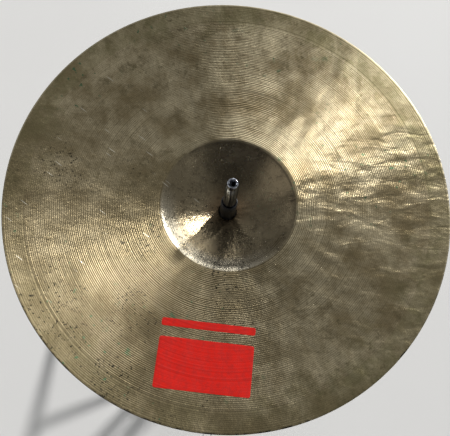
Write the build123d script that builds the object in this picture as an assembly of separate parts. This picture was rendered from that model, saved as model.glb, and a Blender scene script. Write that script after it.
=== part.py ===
from build123d import *

import os
from math import cos, radians, sin, sqrt, tan

# Pedal hi-hat stand with its bottom cymbal lying hollow side up on the seat.
# Millimetres, +Z up. The origin is on the floor, on the axis of the pull rod.
# The pedal points towards -Y, and the three legs lie at LEG_AZIMUTHS about the rod.

# Cymbal, a 14 inch plate
CYMBAL_RADIUS = 177.8
CYMBAL_THICKNESS = 1.2
RIM_HEIGHT = 860.0
BOW_DEPTH = 15.0
BOW_SPHERE = 955.0
BELL_RADIUS = 55.2
BELL_DEPTH = 22.0
CYMBAL_HOLE = 7.5

# Pull rod and what is on it
ROD_RADIUS = 3.0
RUNNING_FIT = 0.06
COUPLER_RADIUS = 5.3
COUPLER_LOW = 705.0
COUPLER_TOP = 895.0
SOCKET_RADIUS = 2.5
SOCKET_DEPTH = 14.0
CLEVIS_PIN_HEIGHT = 108.0

# Tubes
LOWER_TUBE = (14.3, 12.8)
LOWER_TUBE_LOW, LOWER_TUBE_TOP = 270.0, 600.0
UPPER_TUBE = (11.1, 9.6)
UPPER_TUBE_LOW, UPPER_TUBE_TOP = 450.0, 798.0
CLAMP_LOW, CLAMP_TOP = 566.0, 612.0
CLAMP_BOLT_HEIGHT, CLAMP_BOLT_OUT = 586.0, 24.0
MEMORY_LOCK_LOW, MEMORY_LOCK_TOP = 674.0, 690.0

# Cast frame between the floor and the lower tube
ARCH_HALF_WIDTH, ARCH_HALF_DEPTH = 58.0, 9.0
ARCH_LOW, ARCH_TOP = 4.0, 138.0
WINDOW_HALF_WIDTH, WINDOW_LOW, WINDOW_TOP = 47.0, 16.0, 122.0
CROWN_RADIUS, CROWN_TOP = 23.0, 156.0
PILLAR_RADIUS, PILLAR_CIRCLE = 3.5, 19.0
HUB_RADIUS, HUB_LOW, HUB_TOP = 20.0, 262.0, 310.0

# Tripod: collar pivots, struts and feet, in the radial plane of each leg
LEG_AZIMUTHS = (90, 210, 330)
PIVOT_OUT = 31.0
STRUT_PIVOT_HEIGHT = 148.0
SPREAD_ANGLE = 35.2
FOOT_OUT, FOOT_END_HEIGHT = 298.0, 14.0
FOOT_RADIUS = 11.0
LEG_WIDTH, STRUT_WIDTH = 14.0, 13.0
SHEET = 2.0
PIVOT_PIN = 2.5

# Pedal: heel hinge, board and toe link, with forward along the board as +Y
HINGE_OUT, HINGE_HEIGHT = 250.0, 26.0
HINGE_PIN = 3.5
BOARD_ANGLE = 16.0
BOARD_LENGTH, BOARD_THICKNESS = 235.0, 4.0
BOARD_HEEL_WIDTH, BOARD_TOE_WIDTH = 70.0, 84.0
HEEL_END = 311.0
CHAIN_PITCH = 12.7
CHAIN_LINKS = 3
TOE_PIN = 2.0
LINK_ROD = 3.5
LINK_ROD_OUT, LINK_ROD_HEIGHT = 34.0, 10.0

# Seat of the bottom cymbal
SEAT_FLANGE_LOW, SEAT_FLANGE_TOP = 798.0, 808.0
SEAT_RADIUS = 19.0
SLEEVE_RADIUS, SLEEVE_BORE = 6.75, 5.6
SLEEVE_LOW, SLEEVE_TOP = 790.0, 850.0
TILT_PIVOT_OUT, TILT_PIVOT_HEIGHT, TILT_PIVOT_RADIUS = 14.5, 813.6, 1.4
TILT_SCREW_OUT, TILT_SCREW_RADIUS = 24.0, 2.5
PLATE_LOW, PLATE_TOP, PLATE_RADIUS = 814.0, 816.0, 18.0
FELT_TOP, FELT_RADIUS = 821.5, 17.0
SEAT_BORE = 7.6

# Return spring and its tension knob
KNOB_LOW, KNOB_TOP, KNOB_RADIUS = 156.4, 170.0, 14.5
SPRING_LOW, SPRING_TOP = 170.4, 249.8
SPRING_RADIUS, SPRING_WIRE, SPRING_TURNS = 8.5, 1.1, 7
SPRING_COLLAR_TOP = 256.0

BASE_ALIGN = (Align.CENTER, Align.CENTER, Align.MIN)


def save(node, *shapes):
    """Write one node, with every solid of the shapes kept apart."""
    solids = [solid for shape in shapes for solid in shape.solids()]
    export_step(solids[0] if len(solids) == 1 else Compound(solids), f"parts/{node}.step")


def post(radius, low, high, x=0.0, y=0.0):
    """Upright round bar."""
    return Pos(x, y, low) * Cylinder(radius, high - low, align=BASE_ALIGN)


def pipe(outer, inner, low, high):
    """Upright tube on the rod axis."""
    return post(outer, low, high) - post(inner, low - 1, high + 1)


def bar_x(radius, low, high, y, z):
    """Round bar along X."""
    return Pos(low, y, z) * Rot(0, 90, 0) * Cylinder(radius, high - low, align=BASE_ALIGN)


def bar_y(radius, low, high, x, z):
    """Round bar along Y."""
    return Pos(x, low, z) * Rot(-90, 0, 0) * Cylinder(radius, high - low, align=BASE_ALIGN)


def block(x_span, y_span, z_span):
    """Box from three (low, high) spans."""
    size = [high - low for low, high in (x_span, y_span, z_span)]
    middle = [(high + low) / 2 for low, high in (x_span, y_span, z_span)]
    return Pos(*middle) * Box(*size)


def strip(start, end, width, low, high):
    """Flat bar with round ends between two (x, z) points, from low to high along Y."""
    run = Vector(end[0] - start[0], 0, end[1] - start[1])
    middle = ((start[0] + end[0]) / 2, low, (start[1] + end[1]) / 2)
    plane = Plane(origin=middle, x_dir=run, z_dir=(0, 1, 0))
    return extrude(plane * SlotCenterToCenter(run.length, width), high - low)


def turned(shape, azimuth):
    """Shape drawn in the XZ plane, turned about the rod axis."""
    return Rot(0, 0, azimuth) * shape


def hexagon(across, low, high):
    """Upright hexagonal prism on the rod axis."""
    return Pos(0, 0, low) * extrude(RegularPolygon(across / sqrt(3), 6), high - low)


def knurled(radius, low, high, grooves):
    """Round knob with half-round grooves down its side."""
    knob = post(radius, low, high)
    for index in range(grooves):
        angle = radians(360 * index / grooves)
        knob -= post(0.9, low - 1, high + 1, (radius + 0.3) * cos(angle), (radius + 0.3) * sin(angle))
    return knob


def wing_bolt(length):
    """Bolt along X with its tip at -length and a two-winged head beyond x = 0."""
    bolt = bar_x(ROD_RADIUS, -length, 1, 0, 0) + bar_x(6, 0, 12, 0, 0)
    for side in (-1, 1):
        bolt += strip((7, 3 * side), (19, 14 * side), 9, -2, 2)
    return bolt


def cymbal():
    """Bow and bell as one thin shell of revolution, opening upwards."""
    rim = RIM_HEIGHT
    middle = (CYMBAL_RADIUS + BELL_RADIUS) / 2
    bow_drop = (CYMBAL_RADIUS**2 - middle**2) / (2 * BOW_SPHERE)
    bell_low = rim - BOW_DEPTH - BELL_DEPTH
    bell_sphere = (BELL_RADIUS**2 + BELL_DEPTH**2) / (2 * BELL_DEPTH)

    def bell(out):
        return bell_low + bell_sphere - sqrt(bell_sphere**2 - out**2)

    upper = [
        (CYMBAL_RADIUS, rim),
        (middle, rim - bow_drop),
        (BELL_RADIUS, rim - BOW_DEPTH),
        (BELL_RADIUS * 0.55, bell(BELL_RADIUS * 0.55)),
        (CYMBAL_HOLE, bell(CYMBAL_HOLE)),
    ]
    lower = [(out, height - CYMBAL_THICKNESS) for out, height in upper]
    edge = [
        ThreePointArc(*upper[0:3]),
        ThreePointArc(*upper[2:5]),
        Line(upper[4], lower[4]),
        ThreePointArc(*lower[2:5]),
        ThreePointArc(*lower[0:3]),
        Line(lower[0], upper[0]),
    ]
    return revolve(Plane.XZ * make_face(edge), Axis.Z)


def base_frame():
    """Arch over the toe of the board, its crown, the three-pillar spring cage and the tube hub."""
    height = ARCH_TOP - ARCH_LOW
    outline = RectangleRounded(2 * ARCH_HALF_WIDTH, height, 22)
    window_height = WINDOW_TOP - WINDOW_LOW
    window = RectangleRounded(2 * WINDOW_HALF_WIDTH, window_height, 15)
    outline = Pos(0, (ARCH_TOP + ARCH_LOW) / 2) * outline - Pos(0, (WINDOW_TOP + WINDOW_LOW) / 2) * window
    frame = extrude(Plane.XZ.offset(-ARCH_HALF_DEPTH) * outline, 2 * ARCH_HALF_DEPTH)
    frame += post(17, WINDOW_TOP, ARCH_TOP) + post(CROWN_RADIUS, ARCH_TOP - 1, CROWN_TOP)
    for azimuth in LEG_AZIMUTHS:
        tongue = strip((15, STRUT_PIVOT_HEIGHT), (PIVOT_OUT, STRUT_PIVOT_HEIGHT), 12, -2.7, 2.7)
        frame += turned(tongue, azimuth)
        frame += turned(post(PILLAR_RADIUS, CROWN_TOP - 1, HUB_LOW + 1, PILLAR_CIRCLE, 0), azimuth + 60)
    frame += post(CROWN_RADIUS, HUB_LOW, HUB_LOW + 8)
    frame += post(HUB_RADIUS, HUB_LOW + 7, HUB_TOP)
    frame -= post(LOWER_TUBE[0] + 0.02, LOWER_TUBE_LOW, HUB_TOP + 1)
    frame -= post(ROD_RADIUS + 0.4, HUB_LOW - 1, HUB_TOP)
    frame -= post(6, WINDOW_TOP - 1, CROWN_TOP + 1)
    frame -= bar_x(3, 10, HUB_RADIUS + 1, 0, 290)
    for azimuth in LEG_AZIMUTHS:
        frame -= turned(bar_y(PIVOT_PIN, -4, 4, PIVOT_OUT, STRUT_PIVOT_HEIGHT), azimuth)
    for side in (-1, 1):
        frame -= bar_y(LINK_ROD, -ARCH_HALF_DEPTH - 1, -1, side * LINK_ROD_OUT, LINK_ROD_HEIGHT)
    return frame


def base_parts():
    """Everything that stays still on the floor."""
    save("base_frame", base_frame())
    pads = [block((side * 43 - 13, side * 43 + 13), (-8, 8), (0, ARCH_LOW)) for side in (-1, 1)]
    save("base_pads", *pads)
    save("rod_guide_bush", pipe(6, ROD_RADIUS + RUNNING_FIT, WINDOW_TOP, CROWN_TOP))
    save("lower_tube", pipe(*LOWER_TUBE, LOWER_TUBE_LOW, LOWER_TUBE_TOP))
    save("hub_bolt", bar_x(3, LOWER_TUBE[0] + 0.1, 21, 0, 290) + bar_x(5.5, 20.2, 25, 0, 290))
    pins = [
        turned(bar_y(PIVOT_PIN, -5.6, 5.6, PIVOT_OUT, STRUT_PIVOT_HEIGHT), azimuth)
        for azimuth in LEG_AZIMUTHS
    ]
    save("strut_pins", *pins)


def height_clamp():
    """Split clamp and nylon bush at the top of the lower tube."""
    ears_out = CLAMP_BOLT_OUT + 8
    clamp = post(18.5, CLAMP_LOW, CLAMP_TOP)
    clamp += block((-9, 9), (-ears_out, -12), (CLAMP_LOW + 4, CLAMP_LOW + 36))
    clamp -= post(LOWER_TUBE[0] + 0.02, CLAMP_LOW - 1, LOWER_TUBE_TOP + 4)
    clamp -= post(12, LOWER_TUBE_TOP, CLAMP_TOP + 1)
    clamp -= block((-1.5, 1.5), (-ears_out - 1, -10), (CLAMP_LOW - 1, CLAMP_TOP + 1))
    clamp -= bar_x(ROD_RADIUS + RUNNING_FIT, -10, 10, -CLAMP_BOLT_OUT, CLAMP_BOLT_HEIGHT)
    save("height_clamp", clamp)
    bush = pipe(12.75, UPPER_TUBE[0] + RUNNING_FIT, 560, LOWER_TUBE_TOP)
    bush += pipe(14.2, UPPER_TUBE[0] + RUNNING_FIT, LOWER_TUBE_TOP, LOWER_TUBE_TOP + 3.8)
    save("tube_bush", bush)
    nut = hexagon(11, 9.05, 14) - post(ROD_RADIUS + RUNNING_FIT, 8, 15)
    save("clamp_nut", Pos(0, -CLAMP_BOLT_OUT, CLAMP_BOLT_HEIGHT) * Rot(0, -90, 0) * nut)
    bolt = wing_bolt(22)
    save("clamp_wing_bolt", Pos(9.4, -CLAMP_BOLT_OUT, CLAMP_BOLT_HEIGHT) * bolt)


def tripod():
    """Sliding collar, legs with their feet, and the struts down to the crown."""
    spread = radians(SPREAD_ANGLE)
    run_out = FOOT_OUT - PIVOT_OUT
    strut = (run_out / tan(spread) + FOOT_END_HEIGHT - STRUT_PIVOT_HEIGHT) / (2 * cos(spread))
    collar_height = STRUT_PIVOT_HEIGHT + 2 * strut * cos(spread)
    top = (PIVOT_OUT, collar_height)
    knee = (PIVOT_OUT + strut * sin(spread), collar_height - strut * cos(spread))
    bottom = (PIVOT_OUT, STRUT_PIVOT_HEIGHT)
    foot_end = (FOOT_OUT, FOOT_END_HEIGHT)

    collar = post(19, collar_height - 12, collar_height + 12)
    collar += turned(Rot(0, 90, 0) * Cylinder(8, 27, align=BASE_ALIGN), 0).moved(
        Location((0, 0, collar_height), (0, 0, 30))
    )
    for azimuth in LEG_AZIMUTHS:
        collar += turned(strip((14, collar_height), top, 12, -5.2, 5.2), azimuth)
    collar -= post(LOWER_TUBE[0] + RUNNING_FIT, collar_height - 20, collar_height + 20)
    collar -= turned(bar_x(ROD_RADIUS + RUNNING_FIT, 10, 40, 0, collar_height), 30)
    for azimuth in LEG_AZIMUTHS:
        collar -= turned(bar_y(PIVOT_PIN, -7, 7, *top), azimuth)
    save("leg_collar", collar)
    pins = [turned(bar_y(PIVOT_PIN, -8.6, 8.6, *top), azimuth) for azimuth in LEG_AZIMUTHS]
    save("leg_pins", *pins)
    wing = Pos(27.4, 0, collar_height) * wing_bolt(12.6)
    save("leg_wing_bolt", turned(wing, 30))

    for number, azimuth in enumerate(LEG_AZIMUTHS, 1):
        leg, rivets, struts = [], [], []
        foot = post(FOOT_RADIUS, 0, 20, FOOT_OUT + 2, 0)
        for side in (-1, 1):
            low, high = sorted((side * 5.5, side * (5.5 + SHEET)))
            bar = strip(top, foot_end, LEG_WIDTH, low, high)
            bar -= bar_y(PIVOT_PIN + 0.05, low - 1, high + 1, *top)
            leg.append(bar)
            foot -= strip(top, foot_end, LEG_WIDTH, low, high)
            low, high = sorted((side * (5.5 + SHEET), side * (7.0 + SHEET)))
            rivets.append(bar_y(4.2, low, high, *knee))
            low, high = sorted((side * 3.0, side * (3.0 + SHEET)))
            bar = strip(bottom, knee, STRUT_WIDTH, low, high)
            bar -= bar_y(PIVOT_PIN + 0.05, low - 1, high + 1, *bottom)
            struts.append(bar)
        save(f"leg_{number}", *[turned(bar, azimuth) for bar in leg])
        save(f"leg_rivets_{number}", *[turned(rivet, azimuth) for rivet in rivets])
        save(f"foot_{number}", turned(foot, azimuth))
        save(f"strut_{number}", *[turned(bar, azimuth) for bar in struts])
        save(f"strut_spacer_{number}", turned(bar_y(3.4, -2.95, 2.95, *knee), azimuth))


def pedal():
    """Heel plate, hinged board with its toe bracket, and the rods that tie the heel to the arch."""
    heel = block((-38, 38), (-HEEL_END, -240), (3, 9))
    heel = fillet(heel.edges().filter_by(Axis.Z), 6)
    for side in (-1, 1):
        ear = strip((-HINGE_OUT, 12), (-HINGE_OUT, HINGE_HEIGHT), 16, side * 33.5 - 3.5, side * 33.5 + 3.5)
        heel += turned(ear, 90)
        heel += block((side * 34 - 6, side * 34 + 6), (-264, -240), (4, 16))
    for side in (-1, 1):
        heel -= bar_y(LINK_ROD, -258, -239, side * LINK_ROD_OUT, LINK_ROD_HEIGHT)
    heel -= bar_x(HINGE_PIN, -40, 40, -HINGE_OUT, HINGE_HEIGHT)
    save("heel_plate", heel)
    save("heel_pad", block((-36, 36), (-HEEL_END + 2, -242), (0, 3)))
    save("hinge_pin", bar_x(HINGE_PIN, -38.5, 38.5, -HINGE_OUT, HINGE_HEIGHT))
    screws = [post(4, 9, 11, x, y) for x in (-26, 26) for y in (-300, -272)]
    save("heel_screws", *screws)
    rods = [bar_y(LINK_ROD, -258, -1.2, side * LINK_ROD_OUT, LINK_ROD_HEIGHT) for side in (-1, 1)]
    save("link_rods", *rods)

    corners = [
        (-BOARD_HEEL_WIDTH / 2, 12),
        (BOARD_HEEL_WIDTH / 2, 12),
        (BOARD_TOE_WIDTH / 2, BOARD_LENGTH * 0.8),
        (BOARD_TOE_WIDTH / 4, BOARD_LENGTH),
        (-BOARD_TOE_WIDTH / 4, BOARD_LENGTH),
        (-BOARD_TOE_WIDTH / 2, BOARD_LENGTH * 0.8),
    ]
    outline = fillet(Polygon(*corners, align=None).vertices(), 10)
    board = extrude(outline, BOARD_THICKNESS)
    board += extrude(outline - offset(outline, -3.5), -6)
    board += block((-29, 29), (0, 16), (0, BOARD_THICKNESS))
    for row in range(5):
        board -= Pos(0, 70 + 26 * row, 0) * extrude(SlotOverall(34, 6), BOARD_THICKNESS)
    board = Pos(0, -HINGE_OUT, HINGE_HEIGHT) * Rot(BOARD_ANGLE, 0, 0) * board
    board += bar_x(7, -29.6, 29.6, -HINGE_OUT, HINGE_HEIGHT)
    board -= bar_x(HINGE_PIN + 0.05, -40, 40, -HINGE_OUT, HINGE_HEIGHT)
    save("footboard", board)

    toe_height = CLEVIS_PIN_HEIGHT - CHAIN_LINKS * CHAIN_PITCH
    slope = tan(radians(BOARD_ANGLE))
    under_board = HINGE_HEIGHT + (HINGE_OUT - 42) * slope - 7
    bracket = block((-14, 14), (BOARD_LENGTH - 32, BOARD_LENGTH - 4.2), (-3, 0))
    bracket = Pos(0, -HINGE_OUT, HINGE_HEIGHT) * Rot(BOARD_ANGLE, 0, 0) * bracket
    for side in (-1, 1):
        low, high = sorted((side * 8.0, side * 11.0))
        cheek = strip((-42, under_board), (0, toe_height), 11, low, high)
        bracket += turned(cheek, 90)
    bracket -= bar_x(TOE_PIN, -12, 12, 0, toe_height)
    save("toe_bracket", bracket)
    save("toe_pin", bar_x(TOE_PIN, -12.5, 12.5, 0, toe_height))
    screw = Pos(0, -HINGE_OUT, HINGE_HEIGHT) * Rot(BOARD_ANGLE, 0, 0)
    height = BOARD_THICKNESS
    heads = [screw * post(3.6, height, height + 1.6, x, BOARD_LENGTH - 18) for x in (-9, 9)]
    save("toe_screws", *heads)


def chain():
    """Three-pitch drive chain between the clevis pin and the toe pin."""
    outer, inner, rollers = [], [], []
    hinge_hole = TOE_PIN + 0.05
    loose_hole = TOE_PIN + 1.0
    for link in range(CHAIN_LINKS):
        top = (0, CLEVIS_PIN_HEIGHT - link * CHAIN_PITCH)
        end = (0, top[1] - CHAIN_PITCH)
        near, far, plates = (3.7, 4.9, outer) if link % 2 == 0 else (2.3, 3.5, inner)
        for side in (-1, 1):
            low, high = sorted((side * near, side * far))
            plate = strip(top, end, 9.6, low, high)
            plate -= bar_y(hinge_hole if link == 0 else 1.8, low - 1, high + 1, *top)
            plate -= bar_y(loose_hole if link == CHAIN_LINKS - 1 else 1.8, low - 1, high + 1, *end)
            plates.append(turned(plate, 90))
        if link > 0:
            rollers.append(turned(bar_y(3.9, -2.2, 2.2, *top) - bar_y(1.8, -3, 3, *top), 90))
    pins = [
        bar_x(1.8, -5.1, 5.1, 0, CLEVIS_PIN_HEIGHT - link * CHAIN_PITCH) for link in range(1, CHAIN_LINKS)
    ]
    save("chain_outer_links", *outer)
    save("chain_inner_links", *inner)
    save("chain_rollers", *rollers)
    save("chain_pins", *pins)


def pull_rod():
    """Rod from the chain up to the coupler that stands out of the cymbal."""
    clevis = post(9, 96, 121.5)
    clevis -= block((-5.2, 5.2), (-10, 10), (95, 114))
    clevis -= bar_x(TOE_PIN, -10, 10, 0, CLEVIS_PIN_HEIGHT)
    clevis -= post(ROD_RADIUS, 113, 123)
    save("rod_clevis", clevis)
    save("clevis_pin", bar_x(TOE_PIN, -8.6, 8.6, 0, CLEVIS_PIN_HEIGHT))
    save("pull_rod", post(ROD_RADIUS, 114.2, COUPLER_LOW + 20))
    save("spring_collar", pipe(11, ROD_RADIUS, SPRING_TOP + 0.2, SPRING_COLLAR_TOP))
    nut = hexagon(11, COUPLER_LOW - 6, COUPLER_LOW) - post(ROD_RADIUS, COUPLER_LOW - 7, COUPLER_LOW + 1)
    save("rod_lock_nut", nut)
    coupler = post(COUPLER_RADIUS, COUPLER_LOW, COUPLER_TOP)
    coupler -= post(ROD_RADIUS, COUPLER_LOW - 1, COUPLER_LOW + 20)
    coupler -= post(SOCKET_RADIUS, COUPLER_TOP - SOCKET_DEPTH, COUPLER_TOP + 1)
    save("rod_coupler", chamfer(coupler.faces().sort_by(Axis.Z)[-1].outer_wire().edges(), 0.8))


def return_spring():
    """Compression spring in the cage, and the knob that it stands on."""
    knob = knurled(KNOB_RADIUS, KNOB_LOW, KNOB_TOP, 24) - post(ROD_RADIUS + 0.4, 150, 180)
    save("tension_knob", knob)
    height = SPRING_TOP - SPRING_LOW - 2 * SPRING_WIRE
    coil = Pos(0, 0, SPRING_LOW + SPRING_WIRE) * Helix(height / SPRING_TURNS, height, SPRING_RADIUS)
    wire = Plane(origin=coil @ 0, z_dir=coil % 0) * Circle(SPRING_WIRE)
    save("return_spring", sweep(wire, coil))


def upper_tube():
    """Sliding tube with its memory lock and the cymbal seat on top."""
    save("upper_tube", pipe(*UPPER_TUBE, UPPER_TUBE_LOW, UPPER_TUBE_TOP))
    middle = (MEMORY_LOCK_LOW + MEMORY_LOCK_TOP) / 2
    lock = post(16, MEMORY_LOCK_LOW, MEMORY_LOCK_TOP)
    lock += block((-7, 7), (-24, -10), (MEMORY_LOCK_LOW, MEMORY_LOCK_TOP))
    lock -= post(UPPER_TUBE[0] + 0.02, MEMORY_LOCK_LOW - 1, MEMORY_LOCK_TOP + 1)
    lock -= block((-1.2, 1.2), (-25, -8), (MEMORY_LOCK_LOW - 1, MEMORY_LOCK_TOP + 1))
    lock -= bar_x(2.5, -8, 8, -19, middle)
    save("memory_lock", lock)
    key = bar_x(2.5, -7, 7.1, -19, middle) + bar_x(4, 7.1, 9, -19, middle)
    key += block((8, 15), (-21.2, -16.8), (middle - 2.2, middle + 2.2))
    save("memory_key_bolt", key)

    seat = post(UPPER_TUBE[1] - 0.02, 775, SEAT_FLANGE_LOW + 1)
    seat += post(SEAT_RADIUS, SEAT_FLANGE_LOW, SEAT_FLANGE_TOP)
    seat += block((-7, 7), (-31, 0), (SEAT_FLANGE_LOW, SEAT_FLANGE_TOP))
    ridge = (TILT_PIVOT_OUT - 1.2, TILT_PIVOT_OUT + 1.2)
    seat += block((-8, 8), ridge, (SEAT_FLANGE_TOP - 1, TILT_PIVOT_HEIGHT))
    seat += bar_x(TILT_PIVOT_RADIUS, -8, 8, TILT_PIVOT_OUT, TILT_PIVOT_HEIGHT)
    seat -= post(SLEEVE_RADIUS, SLEEVE_LOW, SEAT_FLANGE_TOP + 1)
    seat -= post(SLEEVE_BORE, 770, SLEEVE_LOW + 1)
    seat -= post(TILT_SCREW_RADIUS + RUNNING_FIT, 790, 812, 0, -TILT_SCREW_OUT)
    save("seat_base", seat)
    save("seat_sleeve", pipe(SLEEVE_RADIUS, SLEEVE_BORE, SLEEVE_LOW, SLEEVE_TOP))


def cymbal_seat():
    """Tilting plate, its thumb screw and the felt under the bell."""
    screw = knurled(8, 780, 790, 16) + post(TILT_SCREW_RADIUS, 789, PLATE_LOW - 0.3)
    save("tilt_screw", Pos(0, -TILT_SCREW_OUT, 0) * screw)
    plate = post(PLATE_RADIUS, PLATE_LOW, PLATE_TOP)
    plate += block((-7, 7), (-31, 0), (PLATE_LOW, PLATE_TOP))
    plate -= post(SEAT_BORE, PLATE_LOW - 1, PLATE_TOP + 1)
    plate -= bar_x(TILT_PIVOT_RADIUS + RUNNING_FIT, -12, 12, TILT_PIVOT_OUT, TILT_PIVOT_HEIGHT)
    save("tilt_plate", plate)
    save("seat_felt", pipe(FELT_RADIUS, SEAT_BORE, PLATE_TOP, FELT_TOP))
    save("bottom_cymbal", cymbal())


os.makedirs("parts", exist_ok=True)
base_parts()
height_clamp()
tripod()
pedal()
chain()
pull_rod()
return_spring()
upper_tube()
cymbal_seat()
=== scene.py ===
from math import cos, pi, radians, sin, sqrt

import bmesh
import bpy
import numpy as np
from mathutils import Matrix, Vector


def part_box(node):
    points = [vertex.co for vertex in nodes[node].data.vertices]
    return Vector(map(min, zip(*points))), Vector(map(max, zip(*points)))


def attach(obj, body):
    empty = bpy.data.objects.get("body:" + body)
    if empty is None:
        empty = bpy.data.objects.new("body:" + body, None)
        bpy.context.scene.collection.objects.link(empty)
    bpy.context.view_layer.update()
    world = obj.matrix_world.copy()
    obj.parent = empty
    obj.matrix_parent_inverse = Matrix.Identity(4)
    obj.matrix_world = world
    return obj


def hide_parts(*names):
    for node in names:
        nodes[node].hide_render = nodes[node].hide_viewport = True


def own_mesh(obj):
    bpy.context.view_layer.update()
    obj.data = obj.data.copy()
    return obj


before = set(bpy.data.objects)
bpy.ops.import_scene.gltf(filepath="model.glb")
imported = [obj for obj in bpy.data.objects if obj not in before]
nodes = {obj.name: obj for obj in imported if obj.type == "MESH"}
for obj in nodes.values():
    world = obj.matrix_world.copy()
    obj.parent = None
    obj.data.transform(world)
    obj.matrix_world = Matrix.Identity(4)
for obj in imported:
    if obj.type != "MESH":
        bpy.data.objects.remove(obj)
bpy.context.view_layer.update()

# -------- sizes, metres
MM = 0.001
cymbal_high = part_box("bottom_cymbal")[1]
RIM_RADIUS = cymbal_high.x
RIM_HEIGHT = cymbal_high.z
THICKNESS = 1.2 * MM
BOW_SPHERE = 955 * MM
BOW_DEPTH = 15 * MM
BELL_RADIUS = 55.2 * MM
BELL_DEPTH = 22 * MM
HOLE_RADIUS = 7.5 * MM
BAND_RADIUS = RIM_RADIUS - 16 * MM
LEG_AZIMUTHS = (90, 210, 330)
CHAIN_PITCH = 12.7
CLEVIS_PIN_HEIGHT = 108

# The view is from over the +Y side, turned a little about the rod.
VIEW_TURN = Matrix.Rotation(radians(-10.8), 3, "Z")


# -------- materials
class Surface:
    """A Principled material, and short calls for the nodes that drive it."""

    def __init__(self, name, **values):
        self.material = bpy.data.materials.new(name)
        self.material.use_nodes = True
        self.tree = self.material.node_tree
        self.shader = self.tree.nodes["Principled BSDF"]
        self.place = self.add("TexCoord").outputs["Object"]
        for socket, value in values.items():
            self.set(socket.replace("_", " "), value)

    def add(self, kind, **settings):
        node = self.tree.nodes.new("ShaderNode" + kind)
        for name, value in settings.items():
            setattr(node, name, value)
        return node

    def feed(self, socket, value):
        """Link an output to the socket, or set a plain value on it."""
        if isinstance(value, bpy.types.NodeSocket):
            self.tree.links.new(value, socket)
        elif isinstance(value, tuple) and len(value) == 3 and len(socket.default_value) == 4:
            socket.default_value = (*value, 1)
        else:
            socket.default_value = value

    def set(self, socket, value):
        self.feed(self.shader.inputs[socket], value)

    def paint(self, share, first, second):
        """Mix two tones into the base colour."""
        self.tone = self.mix(share, first, second)
        self.set("Base Color", self.tone)

    def over(self, share, colour):
        """Lay a share of a colour over the tone so far."""
        self.paint(share, self.tone, colour)

    def plug(self, node, **values):
        for name, value in values.items():
            self.feed(node.inputs[name], value)

    def times(self, first, second):
        return self.math("MULTIPLY", first, second)

    def math(self, operation, *values):
        node = self.add("Math", operation=operation)
        for socket, value in zip(node.inputs, values):
            self.feed(socket, value)
        return node.outputs[0]

    def spread(self, value, low, high, new_low=0.0, new_high=1.0):
        """Map low..high smoothly to new_low..new_high."""
        node = self.add("MapRange", interpolation_type="SMOOTHSTEP")
        for socket, number in zip(node.inputs, (value, low, high, new_low, new_high)):
            self.feed(socket, number)
        return node.outputs[0]

    def scaled(self, factors, place=None):
        """The place, multiplied by one factor per axis."""
        return self.vector("MULTIPLY", place or self.place, factors)

    def vector(self, operation, *values):
        node = self.add("VectorMath", operation=operation)
        for socket, value in zip(node.inputs, values):
            self.feed(socket, value)
        return node.outputs["Value" if operation in ("LENGTH", "DOT_PRODUCT") else "Vector"]

    def noise(self, scale, detail=2.0, place=None, roughness=0.5, distortion=0.0):
        node = self.add("TexNoise")
        self.plug(node, Vector=place or self.place, Scale=scale, Detail=detail)
        self.plug(node, Roughness=roughness, Distortion=distortion)
        return node.outputs[0]

    def ripple(self, distance, scale, detail=2.0):
        """Noise along one distance only."""
        node = self.add("TexNoise", noise_dimensions="1D")
        self.plug(node, W=distance, Scale=scale, Detail=detail)
        return node.outputs[0]

    def mix(self, factor, first, second):
        node = self.add("Mix", data_type="RGBA")
        for index, value in ((0, factor), (6, first), (7, second)):
            self.feed(node.inputs[index], value)
        return node.outputs[2]

    def dashes(self, angle, length, width, kept, size):
        """Short parallel streaks at an angle in plan: 1 on a streak, 0 off it."""
        turn = self.add("VectorRotate", rotation_type="Z_AXIS")
        self.plug(turn, Vector=self.place, Angle=angle)
        node = self.add("TexVoronoi")
        self.plug(node, Vector=self.scaled((1 / length, 1 / width, 0), turn.outputs[0]), Scale=1.0)
        tint = self.add("SeparateColor")
        self.feed(tint.inputs[0], node.outputs["Color"])
        chosen = self.math("GREATER_THAN", tint.outputs[0], 1 - kept)
        return self.times(chosen, self.spread(node.outputs["Distance"], size, size * 0.5))

    def plan(self):
        """Distance from the upright axis, and the unit direction from it."""
        flat = self.scaled((1, 1, 0))
        return self.vector("LENGTH", flat), self.vector("NORMALIZE", flat)

    def facing(self, unit, degrees):
        """Cosine of the angle in plan between the unit direction and a heading."""
        return self.vector("DOT_PRODUCT", unit, (cos(radians(degrees)), sin(radians(degrees)), 0))

    def axes(self, place=None):
        node = self.add("SeparateXYZ")
        self.feed(node.inputs[0], place or self.place)
        return node.outputs

    def bump(self, height, distance, strength=1.0, below=None):
        node = self.add("Bump")
        self.plug(node, Height=height, Distance=distance, Strength=strength)
        if below:
            self.plug(node, Normal=below)
        return node.outputs[0]


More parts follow.
